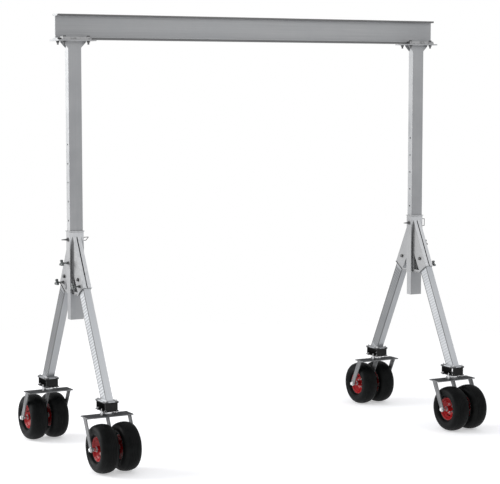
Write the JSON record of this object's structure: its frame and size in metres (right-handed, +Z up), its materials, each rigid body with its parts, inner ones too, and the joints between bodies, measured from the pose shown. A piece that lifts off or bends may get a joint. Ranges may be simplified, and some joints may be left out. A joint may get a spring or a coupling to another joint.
{
  "type": "portable gantry crane",
  "caption": "Free-standing lifting frame: an I-beam clamped on telescopic posts, each on a folding A-frame with twin-wheel swivel casters.",
  "frame": {"origin": "on the floor under the middle of the beam", "axes": "+X along the beam to the right end, +Y to the back, +Z up"},
  "size_m": [3.865, 1.8898, 3.6874],
  "materials": {
    "aluminium": "extruded, satin, lightly brushed along its length",
    "adapter_paint": "black powder coat",
    "galvanised": "dark galvanised, slightly mottled",
    "bright_steel": "zinc-plated, bright",
    "dark_steel": "dark zinc",
    "knob_steel": "dark plated castings",
    "rim_paint": "glossy red paint on pressed steel",
    "tyre_rubber": "smooth black rubber"
  },
  "bodies": {
    "beam": {"beam": "aluminium"},
    "left_post": {"left_post": "aluminium", "left_clamp_jaws": "dark_steel", "left_clamp_bolts": "dark_steel"},
    "left_frame": {"left_bracket": "aluminium", "left_pivot_bolts": "dark_steel"},
    "left_height_pin": {"left_height_pin": "bright_steel"},
    "left_sleeve_knob": {"left_sleeve_knob": "knob_steel"},
    "left_front_leg": {"left_front_leg": "aluminium", "left_front_adapter": "adapter_paint", "left_front_swivel_head": "galvanised"},
    "left_front_fork": {"left_front_fork": "galvanised", "left_front_axle": "bright_steel"},
    "left_front_direction_lock": {"left_front_direction_lock": "bright_steel"},
    "left_front_leg_knob": {"left_front_leg_knob": "knob_steel"},
    "left_front_outer_wheel": {"left_front_outer_tyre": "tyre_rubber", "left_front_outer_rim": "rim_paint"},
    "left_front_inner_wheel": {"left_front_inner_tyre": "tyre_rubber", "left_front_inner_rim": "rim_paint"},
    "left_back_leg": {"left_back_leg": "aluminium", "left_back_adapter": "adapter_paint", "left_back_swivel_head": "galvanised"},
    "left_back_fork": {"left_back_fork": "galvanised", "left_back_axle": "bright_steel"},
    "left_back_direction_lock": {"left_back_direction_lock": "bright_steel"},
    "left_back_leg_knob": {"left_back_leg_knob": "knob_steel"},
    "left_back_outer_wheel": {"left_back_outer_tyre": "tyre_rubber", "left_back_outer_rim": "rim_paint"},
    "left_back_inner_wheel": {"left_back_inner_tyre": "tyre_rubber", "left_back_inner_rim": "rim_paint"},
    "right_post": {"right_post": "aluminium", "right_clamp_jaws": "dark_steel", "right_clamp_bolts": "dark_steel"},
    "right_frame": {"right_bracket": "aluminium", "right_pivot_bolts": "dark_steel"},
    "right_height_pin": {"right_height_pin": "bright_steel"},
    "right_sleeve_knob": {"right_sleeve_knob": "knob_steel"},
    "right_front_leg": {"right_front_leg": "aluminium", "right_front_adapter": "adapter_paint", "right_front_swivel_head": "galvanised"},
    "right_front_fork": {"right_front_fork": "galvanised", "right_front_axle": "bright_steel"},
    "right_front_direction_lock": {"right_front_direction_lock": "bright_steel"},
    "right_front_leg_knob": {"right_front_leg_knob": "knob_steel"},
    "right_front_outer_wheel": {"right_front_outer_tyre": "tyre_rubber", "right_front_outer_rim": "rim_paint"},
    "right_front_inner_wheel": {"right_front_inner_tyre": "tyre_rubber", "right_front_inner_rim": "rim_paint"},
    "right_back_leg": {"right_back_leg": "aluminium", "right_back_adapter": "adapter_paint", "right_back_swivel_head": "galvanised"},
    "right_back_fork": {"right_back_fork": "galvanised", "right_back_axle": "bright_steel"},
    "right_back_direction_lock": {"right_back_direction_lock": "bright_steel"},
    "right_back_leg_knob": {"right_back_leg_knob": "knob_steel"},
    "right_back_outer_wheel": {"right_back_outer_tyre": "tyre_rubber", "right_back_outer_rim": "rim_paint"},
    "right_back_inner_wheel": {"right_back_inner_tyre": "tyre_rubber", "right_back_inner_rim": "rim_paint"}
  },
  "joints": [
    {"name": "left_span_slide", "type": "slide", "parent": "beam", "child": "left_post", "axis": [1, 0, 0], "range_m": [0, 0.6]},
    {"name": "left_height_slide", "type": "slide", "parent": "left_post", "child": "left_frame", "axis": [0, 0, 1], "range_m": [-0.158, 0.79]},
    {"name": "left_height_pin_pull", "type": "slide", "parent": "left_frame", "child": "left_height_pin", "axis": [1, 0, 0], "range_m": [0, 0.2]},
    {"name": "left_sleeve_knob_turn", "type": "hinge", "parent": "left_frame", "child": "left_sleeve_knob", "pos_m": [-1.716, 0, 1.62705], "axis": [-1, 0, 0], "range_deg": [0, 720]},
    {"name": "left_front_leg_fold", "type": "hinge", "parent": "left_frame", "child": "left_front_leg", "pos_m": [-1.716, -0.145, 1.50005], "axis": [1, 0, 0], "range_deg": [0, 12]},
    {"name": "left_front_leg_knob_turn", "type": "hinge", "parent": "left_frame", "child": "left_front_leg_knob", "pos_m": [-1.716, -0.17233, 1.44664], "axis": [-1, 0, 0], "range_deg": [0, 720]},
    {"name": "left_front_swivel", "type": "hinge", "parent": "left_front_leg", "child": "left_front_fork", "pos_m": [-1.716, -0.62196, 0.446], "axis": [0, 0, 1], "continuous": true},
    {"name": "left_front_direction_lock_drop", "type": "slide", "parent": "left_front_leg", "child": "left_front_direction_lock", "axis": [0, 0, 1], "range_m": [-0.008, 0]},
    {"name": "left_front_outer_wheel_roll", "type": "hinge", "parent": "left_front_fork", "child": "left_front_outer_wheel", "pos_m": [-1.814, -0.74496, 0.2], "axis": [1, 0, 0], "continuous": true},
    {"name": "left_front_inner_wheel_roll", "type": "hinge", "parent": "left_front_fork", "child": "left_front_inner_wheel", "pos_m": [-1.618, -0.74496, 0.2], "axis": [1, 0, 0], "continuous": true},
    {"name": "left_back_leg_fold", "type": "hinge", "parent": "left_frame", "child": "left_back_leg", "pos_m": [-1.716, 0.145, 1.50005], "axis": [-1, 0, 0], "range_deg": [0, 12]},
    {"name": "left_back_leg_knob_turn", "type": "hinge", "parent": "left_frame", "child": "left_back_leg_knob", "pos_m": [-1.716, 0.17233, 1.44664], "axis": [-1, 0, 0], "range_deg": [0, 720]},
    {"name": "left_back_swivel", "type": "hinge", "parent": "left_back_leg", "child": "left_back_fork", "pos_m": [-1.716, 0.62196, 0.446], "axis": [0, 0, 1], "continuous": true},
    {"name": "left_back_direction_lock_drop", "type": "slide", "parent": "left_back_leg", "child": "left_back_direction_lock", "axis": [0, 0, 1], "range_m": [-0.008, 0]},
    {"name": "left_back_outer_wheel_roll", "type": "hinge", "parent": "left_back_fork", "child": "left_back_outer_wheel", "pos_m": [-1.814, 0.74496, 0.2], "axis": [1, 0, 0], "continuous": true},
    {"name": "left_back_inner_wheel_roll", "type": "hinge", "parent": "left_back_fork", "child": "left_back_inner_wheel", "pos_m": [-1.618, 0.74496, 0.2], "axis": [1, 0, 0], "continuous": true},
    {"name": "right_span_slide", "type": "slide", "parent": "beam", "child": "right_post", "axis": [-1, 0, 0], "range_m": [0, 0.6]},
    {"name": "right_height_slide", "type": "slide", "parent": "right_post", "child": "right_frame", "axis": [0, 0, 1], "range_m": [-0.158, 0.79]},
    {"name": "right_height_pin_pull", "type": "slide", "parent": "right_frame", "child": "right_height_pin", "axis": [1, 0, 0], "range_m": [0, 0.2]},
    {"name": "right_sleeve_knob_turn", "type": "hinge", "parent": "right_frame", "child": "right_sleeve_knob", "pos_m": [1.716, 0, 1.62705], "axis": [1, 0, 0], "range_deg": [0, 720]},
    {"name": "right_front_leg_fold", "type": "hinge", "parent": "right_frame", "child": "right_front_leg", "pos_m": [1.716, -0.145, 1.50005], "axis": [1, 0, 0], "range_deg": [0, 12]},
    {"name": "right_front_leg_knob_turn", "type": "hinge", "parent": "right_frame", "child": "right_front_leg_knob", "pos_m": [1.716, -0.17233, 1.44664], "axis": [1, 0, 0], "range_deg": [0, 720]},
    {"name": "right_front_swivel", "type": "hinge", "parent": "right_front_leg", "child": "right_front_fork", "pos_m": [1.716, -0.62196, 0.446], "axis": [0, 0, 1], "continuous": true},
    {"name": "right_front_direction_lock_drop", "type": "slide", "parent": "right_front_leg", "child": "right_front_direction_lock", "axis": [0, 0, 1], "range_m": [-0.008, 0]},
    {"name": "right_front_outer_wheel_roll", "type": "hinge", "parent": "right_front_fork", "child": "right_front_outer_wheel", "pos_m": [1.814, -0.74496, 0.2], "axis": [1, 0, 0], "continuous": true},
    {"name": "right_front_inner_wheel_roll", "type": "hinge", "parent": "right_front_fork", "child": "right_front_inner_wheel", "pos_m": [1.618, -0.74496, 0.2], "axis": [1, 0, 0], "continuous": true},
    {"name": "right_back_leg_fold", "type": "hinge", "parent": "right_frame", "child": "right_back_leg", "pos_m": [1.716, 0.145, 1.50005], "axis": [-1, 0, 0], "range_deg": [0, 12]},
    {"name": "right_back_leg_knob_turn", "type": "hinge", "parent": "right_frame", "child": "right_back_leg_knob", "pos_m": [1.716, 0.17233, 1.44664], "axis": [1, 0, 0], "range_deg": [0, 720]},
    {"name": "right_back_swivel", "type": "hinge", "parent": "right_back_leg", "child": "right_back_fork", "pos_m": [1.716, 0.62196, 0.446], "axis": [0, 0, 1], "continuous": true},
    {"name": "right_back_direction_lock_drop", "type": "slide", "parent": "right_back_leg", "child": "right_back_direction_lock", "axis": [0, 0, 1], "range_m": [-0.008, 0]},
    {"name": "right_back_outer_wheel_roll", "type": "hinge", "parent": "right_back_fork", "child": "right_back_outer_wheel", "pos_m": [1.814, 0.74496, 0.2], "axis": [1, 0, 0], "continuous": true},
    {"name": "right_back_inner_wheel_roll", "type": "hinge", "parent": "right_back_fork", "child": "right_back_inner_wheel", "pos_m": [1.618, 0.74496, 0.2], "axis": [1, 0, 0], "continuous": true}
  ]
}
